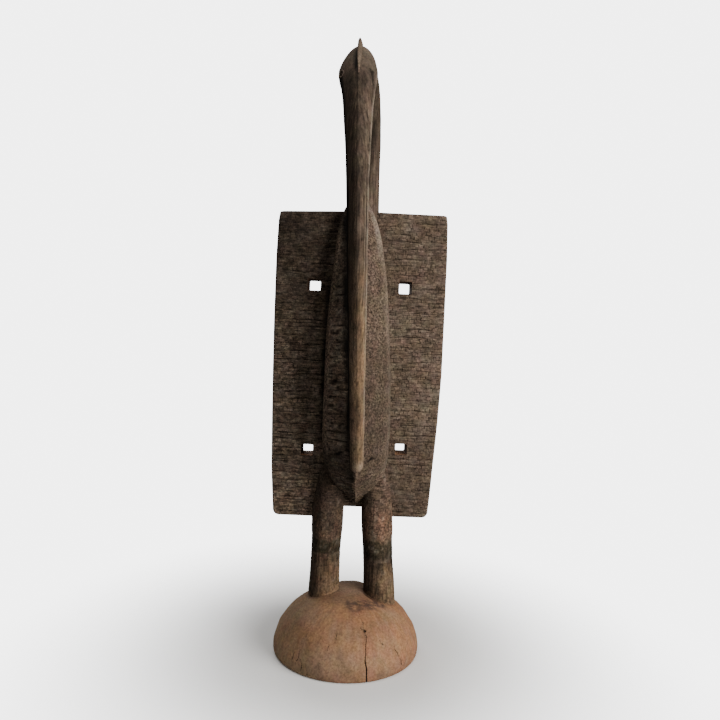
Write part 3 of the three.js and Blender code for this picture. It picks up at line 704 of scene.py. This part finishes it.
def makeCrest():
    # a narrow gable across the crook's outer side: its height is a sine along it, then that of the low rib
    q = np.linspace(0, 1, crest["rings"])
    centre, out, size = crookFrame(crest["first"] + q * (crest["end"] - crest["first"]))[:3]
    centre[:, 0] = crook["headTurn"]
    rise = crest["rise"] * np.sin(math.pi * unit(q * 1.12) ** 0.94) ** 0.8
    rise = strongest(rise, crest["ribRise"] * between(q, 0.3, 0.5, 0.8, 1))[:, None]
    foot = crest["halfWidth"] * (0.35 + 0.65 * easeStep(q, 0.02, 0.4)) * (1 - 0.75 * easeStep(q, 0.7, 1))
    foot = foot[:, None]
    # its edge moves over to the left, so that the rib is one slope to the right with a steep left side
    edge = -0.8 * foot * easeStep(q, 0.38, 0.6)[:, None]
    level = np.array([-1.0, -0.3, 0.0, 0.25, 0.5, 0.75, 1.0])
    height = np.where(level < 0, crest["foot"] * level, rise * level)
    fall = 0.1 + 0.9 * (1 - unit(level)) ** 0.8
    right = np.stack([edge + (foot - edge) * fall, height], -1)
    left = np.stack([edge - (foot + edge) * fall, height], -1)
    ring = np.concatenate([right, left[:, ::-1]], 1)
    grid = centre[:, None] + (ring[..., 1:2] + size[:, 1][:, None, None]) * out[:, None]
    grid[..., 0] += ring[..., 0]
    # painted shade on the left side and in the crease beside it, and the right side a little paler as if lit
    onRight = np.repeat([1.0, 0.0], len(level))
    creaseShade = (1 - onRight) * easeStep(-ring[..., 1], -3, 0.5) * easeStep(q, 0.45, 0.6)[:, None]
    return newMesh("crest", grid[:, ::-1], {
        "sootAndShade": (0.15 * (1 - onRight) + 0.6 * creaseShade)[:, ::-1],
        "pale": (0.12 * onRight + 0 * creaseShade)[:, ::-1], "grain": 0.3,
    })


# The eyes: a raised ring with a domed middle on each side of the head.
eyes = {
    "radius": 7.4,
    "stand": 2.0,
    "root": 9.0,
    "around": 28,
    "facing": (0.74, -0.66, 0.12),  # of the right eye
    # of each side: station on the crook, how far forward of its middle and how far inside its side
    "place": {-1: (7.36, 8.5, 5.6), 1: (7.2, 2.6, 6.4)},
    # from the rim to the middle: radius and height as shares, how pale, and how dark as painted shade in the
    # hollow middle
    "profile": [
        (1.08, 0.3, 0.2, 0.2), (0.98, 0.95, 0.8, 0), (0.8, 1, 1.0, 0), (0.62, 0.1, 0.3, 0.6),
        (0.5, -0.5, 0, 1), (0.34, 0.1, 0, 0.6), (0.14, 0.4, 0, 0.3),
    ],
}


def makeEye(side):
    # a profile turned round an axis that points forward and out of the side of the head
    station, forward, inward = eyes["place"][side]
    centre, out, size = (v[0] for v in crookFrame(np.array([station]))[:3])
    rim = np.array(eyes["profile"])
    profile = rim[:, :2] * (eyes["radius"], eyes["stand"])
    disc = spun(np.vstack([(profile[0, 0], -eyes["root"]), profile]), eyes["around"])
    facing = np.array(eyes["facing"]) * (side, 1, 1)
    facing /= np.linalg.norm(facing)
    upright = np.cross(facing, np.array([0, 0, 1.0]))
    upright /= np.linalg.norm(upright)
    third = np.cross(facing, upright)
    middle = centre + forward * out + np.array([side * (size[0] - inward), 0, 0])
    grid = middle + disc[..., :1] * upright + disc[..., 1:2] * third + disc[..., 2:] * facing
    pale, dark = np.vstack([(0, 0.3), rim[:, 2:]]).T[..., None]
    return newMesh("eye", grid, {"pale": 0.7 * pale, "sootAndShade": 0.75 * dark, "grain": 0.3})


# The plinth: a low dome of bare wood, adzed unevenly, split on the front and checked by drying.
plinth = {
    "radius": 143.5,
    "height": 113.0,
    "edgeRound": 5.0,
    "fullness": 0.94,  # 1 is half an ellipse, and less is fuller
    "strokeRadius": 120.0,  # where the adze strokes' widths are measured
    "around": 200,
    "domeRings": 72,
    "uneven": [(1.3, (52, 52, 40), 41), (0.6, (19, 19, 15), 42), (0.35, (7, 7, 7), 43)],
    "splitSide": 41.0,
    "splitRise": 73.0,
    "splitWidth": 3.4,
    "splitDepth": 26.0,
    # drying checks: angle at the low and at the high end in degrees, low and high point, width, depth
    "checks": [
        (-128, -127, 16, 42, 1.3, 7), (-122, -124, 6, 27, 1.6, 9), (-116.5, -118, 2, 15, 1.2, 6),
        (-133, -132, 20, 34, 1.0, 5), (-44.5, -46, 32, 48, 1.6, 5), (-41.5, -43, 14, 27, 1.3, 5),
        (-97.5, -98.5, 66, 78, 1.3, 4), (-70.6, -71, 80, 96, 0.6, 2), (-72.5, -75, 79, 82, 0.6, 2),
        (-70.3, -70.6, 66.5, 75, 1.0, 5), (-104, -103, 52, 60, 0.6, 2), (-57, -59, 56, 63, 0.6, 2),
        (20, 21, 4, 50, 2.2, 12), (75, 74, 2, 66, 2.6, 14), (128, 129, 6, 38, 1.6, 9),
        (170, 168, 3, 24, 1.6, 8),
    ],
    "knot": (-70.8, 77.5, 2.8),  # angle, height, radius
    "crown": (8, 52, 38, 5.0),  # the full part behind the feet: across, back, width, height
    # the hollow cut round the left front of the right foot: radius, width, direction, spread, depth
    "hollow": (33.5, 3.6, -128, 34, 3.2),
    # the smudge before the feet: its middle across and back, its bend, its slope, its width
    "smudge": (-3, -54, 0.00514, -0.011, 18),
}


def domeRadius(z):
    # the plinth's radius at a height: half an ellipse, a little fuller than round
    share = unit((z - plinth["edgeRound"]) / (plinth["height"] - plinth["edgeRound"]))
    return plinth["radius"] * np.sqrt(1 - share**2) ** plinth["fullness"]


def domeHeight(radius):
    # the same curve read the other way
    cosine = unit(radius / plinth["radius"]) ** (1 / plinth["fullness"])
    return plinth["edgeRound"] + (plinth["height"] - plinth["edgeRound"]) * np.sqrt(1 - cosine**2)


def makePlinth():
    # a profile turned round the Z axis, then adzed and opened by its split and checks
    ease, wide, tall = plinth["edgeRound"], plinth["radius"], plinth["height"]
    under = np.array([(12, 0), (50, 0), (90, 0), (120, 0)])
    turn = np.linspace(0, math.pi / 2, 5)
    edge = np.column_stack([wide - ease * (1 - np.sin(turn)), ease * (1 - np.cos(turn))])
    turn = np.linspace(0, math.pi / 2, plinth["domeRings"])[1:-1]
    dome = np.column_stack([wide * np.cos(turn) ** plinth["fullness"], ease + (tall - ease) * np.sin(turn)])
    grid = spun(np.vstack([under, edge, dome]), plinth["around"])
    n = outward(grid)
    x, y, z = grid[..., 0], grid[..., 1], grid[..., 2]
    above, onTop = easeStep(z, 1, 14), z > 50
    shift = layered(grid, plinth["uneven"])
    # short adze strokes run down the dome
    turned = np.stack([np.arctan2(y, x) * plinth["strokeRadius"], 0 * x, z], -1)
    offPole = easeStep(np.hypot(x, y), 45, 100)
    shift += 0.4 * grain(turned, (7, 1, 22), 44) * offPole
    across, back, width, height = plinth["crown"]
    shift += height * bell(np.hypot(x - across, y - back), 0, width)
    feet = (legAxis(side)[1] + birdShift for side in (-1, 1))
    fromLeft, fromRight = ((x - foot[0], y - foot[1]) for foot in feet)
    radius, width, direction, spread, depth = plinth["hollow"]
    crescent = bell(np.hypot(*fromRight), radius, width) * (z > 60)
    crescent = crescent * bell(np.degrees(np.arctan2(*fromRight[::-1])), direction, spread)
    shift -= depth * crescent
    grid = grid + n * (above * shift - 0.4 * (1 - above) * (z > 0.1))[..., None]
    # a grey-brown smudge lies across the top in front of the feet, and the rest is stained unevenly; painted
    # shade lies between the feet and round them and darkens the dome's bottom, and a patch low on the left
    # front is darker
    across, back, bend, slope, width = plinth["smudge"]
    smudgeLine = back + bend * (x - across) ** 2 + slope * (x - across)
    smudge = 1.3 * bell(y, smudgeLine, width) * between(x, -14, 10, 60, 90) * (z > 60)
    smudge = 0.85 * unit(smudge * (0.72 + 0.8 * grain(grid * (1, 1, 0), (8, 3, 9), 45)))
    shadowBetweenFeet = 0.4 * easeStep(np.hypot(x, y), 75, 40) * onTop
    nearest = np.minimum(np.hypot(*fromLeft), np.hypot(*fromRight))
    shadeAtFeet = 0.55 * easeStep(nearest, 39, 32) * onTop
    ageing = 0.18 * unit(grain(grid, (34, 34, 26), 46) + 0.5 * grain(grid, (8, 8, 8), 47))
    ageing = ageing + 0.3 * unit(grain(turned, (6, 1, 11), 50) - 0.2) * offPole
    lowShade = 0.3 * easeStep(z, 34, 4) + 0.3 * bell(np.hypot(x + 58, 1.2 * (z - 30)), 0, 26) * (y < 0)
    stainAndShade = strongest(smudge, shadowBetweenFeet, shadeAtFeet, ageing + lowShade)
    worn = bell(np.hypot(x - 8, 1.3 * (z - 42)), 0, 12) * (y < 0)
    pink = unit(0.5 + 0.0045 * x + 0.45 * grain(grid, (40, 40, 32), 48)) + 0.5 * worn
    pale = 0.25 * worn + 0.3 * unit(grain(turned, (5, 1, 14), 49)) * offPole
    pale = pale + 0.4 * easeStep(np.hypot(x, y - 26), 65, 25) * onTop
    # the hollow round the right foot is painted dark as shade
    dome = newMesh("plinth", grid, {
        "bare": 1.0, "red": pink, "stainAndShade": stainAndShade, "sootAndShade": 0.85 * crescent, "pale": 0.6 * pale * (z > 10),
        "rough": 0.3,
    })
    tools = [splitTool(), *[checkTool(*row) for row in plinth["checks"]], knotTool()]
    return joined(dome, tools, "DIFFERENCE")


def splitTool():
    # the drying split: a wandering wedge, wide at the foot, closing upwards
    z = np.linspace(-2, plinth["splitRise"], 26)
    share = unit(z / plinth["splitRise"])
    wander = 1.1 * np.sin(z / 9) + 0.5 * np.sin(z / 3.7 + 1) - 3.0 * share
    width = plinth["splitWidth"] * (1.08 - share) ** 0.55 * (1 + 0.16 * np.sin(z / 5 + 2))
    side = plinth["splitSide"]
    near = -np.sqrt(np.maximum(domeRadius(z) ** 2 - side**2, 1)) - 8
    far = near + 8 + plinth["splitDepth"] * (1.05 - share)
    corners = ((-0.5, near), (0.5, near), (0.12, far), (-0.12, far))
    ring = np.stack([np.stack([side + wander + width * share, y, z], -1) for share, y in corners], 1)
    # the deep side of the split is painted dark as shade
    return newMesh("split", ring, {"bare": 0.6, "red": 1.0, "sootAndShade": np.array([0.1, 0.1, 0.85, 0.85])})


def checkTool(lowTurn, highTurn, low, high, width, depth):
    # a drying check: a thin lens cut into the dome between two directions
    z = np.linspace(low, high, 9)
    share = np.linspace(0, 1, 9)
    a = np.radians(lowTurn + share * (highTurn - lowTurn))[:, None]
    wide = np.maximum(width * np.sin(math.pi * (0.08 + 0.84 * share)), 0.2)[:, None]
    wander = (0.06 * (high - low) * np.sin(share * 7 + lowTurn))[:, None]
    reach = domeRadius(z)[:, None]
    radial = np.hstack([np.cos(a), np.sin(a), 0 * a])
    across = np.hstack([-np.sin(a), np.cos(a), 0 * a])
    lift = np.stack([0 * z, 0 * z, z], -1)
    deep = reach - depth * np.sin(math.pi * (0.1 + 0.8 * share))[:, None]
    corners = ((reach + 4, -0.5), (deep, -0.1), (deep, 0.1), (reach + 4, 0.5))
    ring = np.stack([far * radial + (wander + wide * share) * across + lift for far, share in corners], 1)
    # its walls are painted dark as shade in the crack
    return newMesh("check", ring[:, ::-1], {"bare": 0.4, "sootAndShade": 0.8})


def knotTool():
    # a small knot hole, three-lobed and pressed a little flat
    degrees, z, radius = plinth["knot"]
    a = math.radians(degrees)
    reach = float(domeRadius(np.array([z]))[0])
    middle = np.array([reach * math.cos(a), reach * math.sin(a), z])
    theta = np.linspace(0.15, math.pi - 0.15, 9)
    phi = ringAngles(14)
    lump = 1 + 0.18 * np.sin(3 * phi + 0.7)
    wide, up = np.sin(theta)[:, None] * lump, -np.cos(theta)[:, None] + 0 * phi
    ball = np.stack([wide * np.cos(phi), wide * np.sin(phi), up], -1) * radius * (1, 1, 0.8)
    # painted dark as shade in the hole
    return newMesh("knot", middle + ball, {"bare": 0.5, "red": 0.5, "sootAndShade": 0.8})


print("making the forms")
birdForms = [makeBody(), makeLeg(-1), makeLeg(1), makeCrook(), makeCrest(), makeEye(-1), makeEye(1)]
bird = joined(makeBoard(), birdForms, "UNION")
bird.data.transform(Matrix.Translation((birdShift / 1000).tolist()))
figure = joined(makePlinth(), [bird], "UNION")
mesh = figure.data
figure.name = mesh.name = "carved_hornbill"
print("joined:", len(mesh.vertices), "vertices")


# What the joined figure gets: rounds of filling in finish, depth of a full hollow in millimetres, and the
# angle in degrees from which an edge stays sharp.
joining = {"fillRounds": 4, "hollowDepth": 0.6, "sharpAngle": 38}


def readVertices(source, name, width):
    # one attribute of all vertices or edges, as rows of so many numbers
    values = np.empty(len(source) * width)
    source.foreach_get(name, values)
    return values.reshape(-1, width)


def neighbourMean(values, weights=None):
    # the mean of each vertex's neighbours along the edges, counting only those with weight
    weights = np.ones(len(values)) if weights is None else weights
    a, b = readVertices(mesh.edges, "vertices", 2).astype(int).T
    size = len(values)
    count = np.bincount(a, weights[b], size) + np.bincount(b, weights[a], size)
    parts = [np.bincount(a, (values[b] * weights[b, None])[:, k], size) for k in range(values.shape[1])]
    more = [np.bincount(b, (values[a] * weights[a, None])[:, k], size) for k in range(values.shape[1])]
    return (np.array(parts) + np.array(more)).T / np.maximum(count, 1e-9)[:, None], count


# vertices made where two forms meet carry no finish yet and take the mean of their neighbours
finish = np.hstack([readVertices(mesh.attributes[name].data, "value", 1) for name in layerNames])
for again in range(joining["fillRounds"]):
    known = (finish[:, 0] > 0.99).astype(float)
    mean, count = neighbourMean(finish, known)
    blank = (known < 0.5) & (count > 0)
    finish[blank] = mean[blank]
    finish[blank, 0] = 1.0
# how far each vertex lies in a hollow, from its neighbours' mean along its normal; the material darkens
# hollows with it as dirt and painted shade
points = readVertices(mesh.vertices, "co", 3) * 1000
normals = readVertices(mesh.vertices, "normal", 3)
hollow = ((neighbourMean(points)[0] - points) * normals).sum(1, keepdims=True)
hollow = 0.5 * hollow + 0.5 * neighbourMean(hollow)[0]
finish = np.hstack([finish, 0.5 + 0.5 * np.clip(hollow / joining["hollowDepth"], -1, 1)])
mesh.attributes.new("hollow", "FLOAT", "POINT")
for index, name in enumerate((*layerNames, "hollow")):
    mesh.attributes[name].data.foreach_set("value", unit(finish[:, index]).astype(np.float32))
mesh.attributes.remove(mesh.attributes["known"])

mesh.polygons.foreach_set("use_smooth", np.ones(len(mesh.polygons), dtype=bool))
mesh.set_sharp_from_angle(angle=math.radians(joining["sharpAngle"]))
mesh.calc_loop_triangles()
print("triangles:", len(mesh.loop_triangles))


def linear(code):
    # an sRGB hex colour as linear RGBA
    parts = [int(code[k : k + 2], 16) / 255 for k in (1, 3, 5)]
    return (*[c / 12.92 if c <= 0.04045 else ((c + 0.055) / 1.055) ** 2.4 for c in parts], 1.0)


def addNode(tree, kind, inputs=(), **settings):
    # one node: its inputs, by name or in order, are values or the sockets that feed them
    node = tree.nodes.new("ShaderNode" + kind)
    for name, value in settings.items():
        setattr(node, name, value)
    for name, value in inputs.items() if isinstance(inputs, dict) else enumerate(inputs):
        if isinstance(value, bpy.types.NodeSocket):
            tree.links.new(value, node.inputs[name])
        else:
            node.inputs[name].default_value = value
    return node.outputs


# Dry carved hardwood rubbed dark by age and handling: a matt brown-grey skin, tan where hands wear the bill,
# reddish and bare on the plinth, with dirt lying in every cut and painted shade in hollows and shaded places.
# Sizes are in millimetres.
wood = {
    "colours": {
        "patinaDark": "#352B23", "patinaLight": "#776454", "wornTan": "#866C51", "redBrown": "#745240",
        "bareOlive": "#866D54", "barePink": "#8B6446", "wornAndLitEdge": "#8C7F70", "bandDark": "#1E2012",
        "smudge": "#3B2F2B", "dirtAndShade": "#0B0704",
    },
    "roughness": 0.82,
    "specular": 0.1,
    "reliefDepth": 1.6,
    # noise, as its size across, front to back and up, its detail and its roughness. Real fibres, pores and
    # grit are finer than the render shows, so they are drawn some ten times too coarse
    "noise": {
        "fibres": ((4, 4, 50), 4.0, 0.6),
        "pores": ((3.03, 3.03, 10.526), 2.0, 0.5),
        "grit": ((4, 4, 4), 4.0, 0.7),
        "blotches": ((16.667, 16.667, 29.412), 3.0, 0.6),
        "lines": ((13.333, 13.333, 2.381), 3.0, 0.65),  # level tool lines in the scored skin
        "patches": ((83.333, 83.333, 83.333), 3.0, 0.6),  # on the bare plinth
        "bend": ((26.316, 26.316, 26.316), 3.0, 0.6),  # bends the scored cells
        "breaks": ((8.333, 8.333, 8.333), 2.0, 0.6),  # where their cuts stop
    },
    "bendReach": (18, 18, 10),
    "cellWide": 9.8,
    "cellHigh": 8.2,
    "cutWide": 1.3,
    "punchPitch": 4.2,
    # the range in which a value is read, and what it gives at each end where that isn't 0 and 1
    "ranges": {
        "breaks": (0.42, 0.64),
        "dots": (0.42, 0.18),
        "pores": (0.6, 0.74),
        "linesShare": (0, 1, 0, 0.55),
        "blotches": (0.35, 0.65, 0, 0.45),
        "blotchesScored": (0, 1, 1, 0.5),
        "fibres": (0.22, 0.54),
        "band": (0, 1, 0, 0.78),
        "patches": (0.35, 0.65, 0, 0.3),
        "pale": (0, 1, 0, 0.8),
        "grit": (0.28, 0.72, 0.88, 1.12),
        "cells": (0, 1, 0.7, 1.3),
        "hollow": (0.56, 0.95, 0, 0.75),
        "reliefStrength": (0, 1, 0.85, 0.4),
    },
    # of pores, dots and cuts: how dark and how deep
    "holes": {"pores": (0.55, 0.4), "dots": (0.6, 0.6), "cuts": (0.62, 1.0)},
}


def carvedWood():
    # the finish layers say how much of each colour lies at a vertex, and the noise varies their tone
    material = bpy.data.materials.new("aged_carved_wood")
    material.use_nodes = True
    material.node_tree.nodes.clear()
    add = partial(addNode, material.node_tree)
    place = add("TexCoord")["Object"]
    bare, tan, red, sootAndShade, pale, fibrous, rough, scored, stipple, band, stainAndShade, hollow = (
        add("Attribute", attribute_name=name)["Fac"] for name in (*layerNames[1:], "hollow")
    )
    colour = {name: linear(code) for name, code in wood["colours"].items()}
    dark = colour["patinaDark"]
    noise = {}
    for name, (size, detail, roughness) in wood["noise"].items():
        scaled = add("Mapping", {"Vector": place, "Scale": [1000 / length for length in size]})[0]
        noise[name] = add("TexNoise", {
            "Vector": scaled, "Scale": 1.0, "Detail": detail, "Roughness": roughness,
        })
    fibres, grit, bend = noise["fibres"]["Fac"], noise["grit"]["Fac"], noise["bend"]["Color"]
    blotches = noise["blotches"]["Fac"]
    # scored cells: a pattern of bricks on the X-Z plane, bent by noise as hand work is
    reach = [length / 1000 for length in wood["bendReach"]]
    bent = add("VectorMath", (bend, reach, place), operation="MULTIPLY_ADD")[0]
    flat = add("SeparateXYZ", (bent,))
    cells = add("TexBrick", {
        "Vector": add("CombineXYZ", (flat[0], flat[2]))[0], "Scale": 1.0,
        "Mortar Size": wood["cutWide"] / 1000, "Mortar Smooth": 0.6,
        "Brick Width": wood["cellWide"] / 1000, "Row Height": wood["cellHigh"] / 1000,
        "Color1": (0, 0, 0, 1), "Color2": (1, 1, 1, 1), "Mortar": (0.5, 0.5, 0.5, 1),
    }, offset=0.5, offset_frequency=2)
    # punched dots on the body
    dots = add("TexVoronoi", {"Vector": place, "Scale": 1000 / wood["punchPitch"], "Randomness": 0.9})
    read = {
        "breaks": noise["breaks"]["Fac"], "dots": dots["Distance"], "pores": noise["pores"]["Fac"],
        "linesShare": scored, "blotches": blotches, "blotchesScored": scored, "fibres": fibres, "band": band,
        "patches": noise["patches"]["Fac"], "pale": pale, "grit": grit, "cells": cells["Color"],
        "hollow": hollow, "reliefStrength": bare,
    }
    ranged = {name: add("MapRange", (read[name], *span))[0] for name, span in wood["ranges"].items()}
    product = {}
    for name, first, second in (
        ("cells", cells["Fac"], ranged["breaks"]),
        ("dots", ranged["dots"], stipple),
        ("pores", ranged["pores"], fibrous),
        ("blotches", ranged["blotches"], ranged["blotchesScored"]),
        ("blotchRelief", blotches, 0.7),
    ):
        product[name] = add("Math", (first, second), operation="MULTIPLY")[0]
    product["cuts"] = add("Math", (product["cells"], scored), operation="MULTIPLY")[0]
    # the wood's texture and tone, then one finish over another
    texture = add("Mix", {0: ranged["linesShare"], 6: grit, 7: noise["lines"]["Fac"]}, data_type="RGBA")[2]
    streak = add("Mix", {0: fibrous, 6: texture, 7: fibres}, data_type="RGBA")[2]
    light = add("MapRange", (streak, 0.33, 0.67))[0]
    reddish = add("MapRange", (streak, 0.28, 0.6))[0]
    coarse = add("MapRange", (texture, 0.32, 0.68, 0.2, 1.8))[0]
    tones = {}
    for name, cover, low, high in (
        ("patina", light, dark, colour["patinaLight"]),
        ("red", reddish, dark, colour["redBrown"]),
        ("tan", ranged["fibres"], dark, colour["wornTan"]),
        ("plinth", red, colour["bareOlive"], colour["barePink"]),
        ("grit", rough, ranged["grit"], coarse),
        ("cells", scored, (1, 1, 1, 1), ranged["cells"]),
    ):
        tones[name] = add("Mix", {0: cover, 6: low, 7: high}, data_type="RGBA")[2]
    stained = {0: ranged["patches"], 6: tones["plinth"], 7: colour["redBrown"]}
    bareTone = add("Mix", stained, data_type="RGBA")[2]
    skin = tones["patina"]
    for cover, tone in (
        (product["blotches"], dark),
        (red, tones["red"]),
        (tan, tones["tan"]),
        (ranged["band"], colour["bandDark"]),
        (bare, bareTone),
        # the stain layer lays painted shade as well as stains
        (stainAndShade, colour["smudge"]),
        # worn pale, and in places painted pale as a highlight
        (ranged["pale"], colour["wornAndLitEdge"]),
    ):
        skin = add("Mix", {0: cover, 6: skin, 7: tone}, data_type="RGBA")[2]
    # a drift of hue, then light and dark of grit and cells
    hue = add("VectorMath", (bend, (0.32, 0.32, 0.32), (0.84, 0.84, 0.84)), operation="MULTIPLY_ADD")[0]
    for tint in (hue, tones["grit"], tones["cells"]):
        skin = add("Mix", {0: 1.0, 6: skin, 7: tint}, data_type="RGBA", blend_type="MULTIPLY")[2]
    # pores, dots and cuts hold dirt and are sunk in the relief; hollows are darkened with dirt and painted
    # shade, and the dark layer brings both dirt and painted shade
    dirtAndShade = add("Math", (sootAndShade, ranged["hollow"]), operation="MAXIMUM")[0]
    relief = add("Math", (streak, product["blotchRelief"]), operation="ADD")[0]
    for name, (darkness, depth) in wood["holes"].items():
        dim = add("MapRange", (product[name], 0, 1, 0, darkness))[0]
        dirtAndShade = add("Math", (dirtAndShade, dim), operation="MAXIMUM")[0]
        sunk = add("Math", (product[name], depth), operation="MULTIPLY")[0]
        relief = add("Math", (relief, sunk), operation="SUBTRACT")[0]
    skin = add("Mix", {0: dirtAndShade, 6: skin, 7: colour["dirtAndShade"]}, data_type="RGBA")[2]
    bump = add("Bump", {
        "Strength": ranged["reliefStrength"], "Distance": wood["reliefDepth"] / 1000, "Height": relief,
    })
    shader = add("BsdfPrincipled", {
        "Base Color": skin, "Roughness": wood["roughness"], "Specular IOR Level": wood["specular"],
        "Normal": bump[0],
    })
    add("OutputMaterial", {"Surface": shader[0]})
    return material


mesh.materials.clear()
mesh.materials.append(carvedWood())
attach(figure, "root")
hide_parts("hornbill_figure")
print("figure finished")

# A plain pale floor that thins out with distance, a broad soft light low on the right and a bright backdrop.
studio = {
    "floorSize": 6.0,
    "floorColour": "#EDECEA",
    "floorRoughness": 0.9,
    "fadeFrom": 0.16,
    "fadeTo": 0.75,
    "roomLight": 0.16,
    "backdrop": 5.0,
    # name, place, height of the point it faces, width, height, power, colour
    "lamps": [
        ("key", (1.75, -1.35, 0.95), 0.6, 1.7, 1.5, 95, (1.0, 0.985, 0.96)),
        ("behind", (-0.8, 2.3, 1.3), 0.6, 1.4, 1.4, 26, (1.0, 0.99, 0.97)),
        ("overhead", (-0.3, -0.5, 2.7), 0.5, 1.6, 1.6, 22, (1.0, 0.99, 0.97)),
    ],
    "lens": (32, 36),  # focal length and sensor width in millimetres
    "shift": (-1.5 / 720, -24.3 / 720),
    "cameraPlace": (0.00792, -1.283, 0.6222),
    "cameraRoll": 2.3,  # degrees about its line of sight
}

floorMesh = bpy.data.meshes.new("floor")
s = studio["floorSize"] / 2
floorMesh.from_pydata([(-s, -s, 0), (s, -s, 0), (s, s, 0), (-s, s, 0)], [], [(0, 1, 2, 3)])
floor = addObject("floor", floorMesh)
paper = bpy.data.materials.new("pale_paper")  # matt, so that it shows no highlight
paper.use_nodes = True
add = partial(addNode, paper.node_tree)
matt, output = (paper.node_tree.nodes[name] for name in ("Principled BSDF", "Material Output"))
matt.inputs["Base Color"].default_value = linear(studio["floorColour"])
matt.inputs["Roughness"].default_value = studio["floorRoughness"]
fromMiddle = add("VectorMath", (add("TexCoord")["Object"],), operation="LENGTH")["Value"]
fade = add("MapRange", (fromMiddle, studio["fadeFrom"], studio["fadeTo"]), interpolation_type="SMOOTHSTEP")
both = add("MixShader", (fade[0], matt.outputs[0], add("BsdfTransparent")[0]))
paper.node_tree.links.new(both[0], output.inputs["Surface"])
floorMesh.materials.append(paper)

for name, place, aim, wide, high, power, colour in studio["lamps"]:
    light = bpy.data.lights.new(name, "AREA")
    light.shape, light.size, light.size_y, light.energy, light.color = "RECTANGLE", wide, high, power, colour
    lamp = addObject(name, light)
    lamp.location = place
    lamp.rotation_euler = Vector((place[0], place[1], place[2] - aim)).to_track_quat("Z", "Y").to_euler()

world = bpy.data.worlds.new("studio")
bpy.context.scene.world = world
world.use_nodes = True
glow = world.node_tree.nodes["Background"]
glow.inputs["Color"].default_value = (1, 1, 1, 1)
seen = addNode(world.node_tree, "LightPath")["Is Camera Ray"]
strength = addNode(world.node_tree, "MapRange", (seen, 0, 1, studio["roomLight"], studio["backdrop"]))
world.node_tree.links.new(strength[0], glow.inputs["Strength"])

camera = addObject("camera", bpy.data.cameras.new("camera"))
camera.data.lens, camera.data.sensor_width = studio["lens"]
camera.data.shift_x, camera.data.shift_y = studio["shift"]
camera.location = studio["cameraPlace"]
roll = Matrix.Rotation(math.radians(studio["cameraRoll"]), 4, "Z")
camera.rotation_euler = (Matrix.Rotation(math.pi / 2, 4, "X") @ roll).to_euler()
bpy.context.scene.camera = camera
print("studio ready")
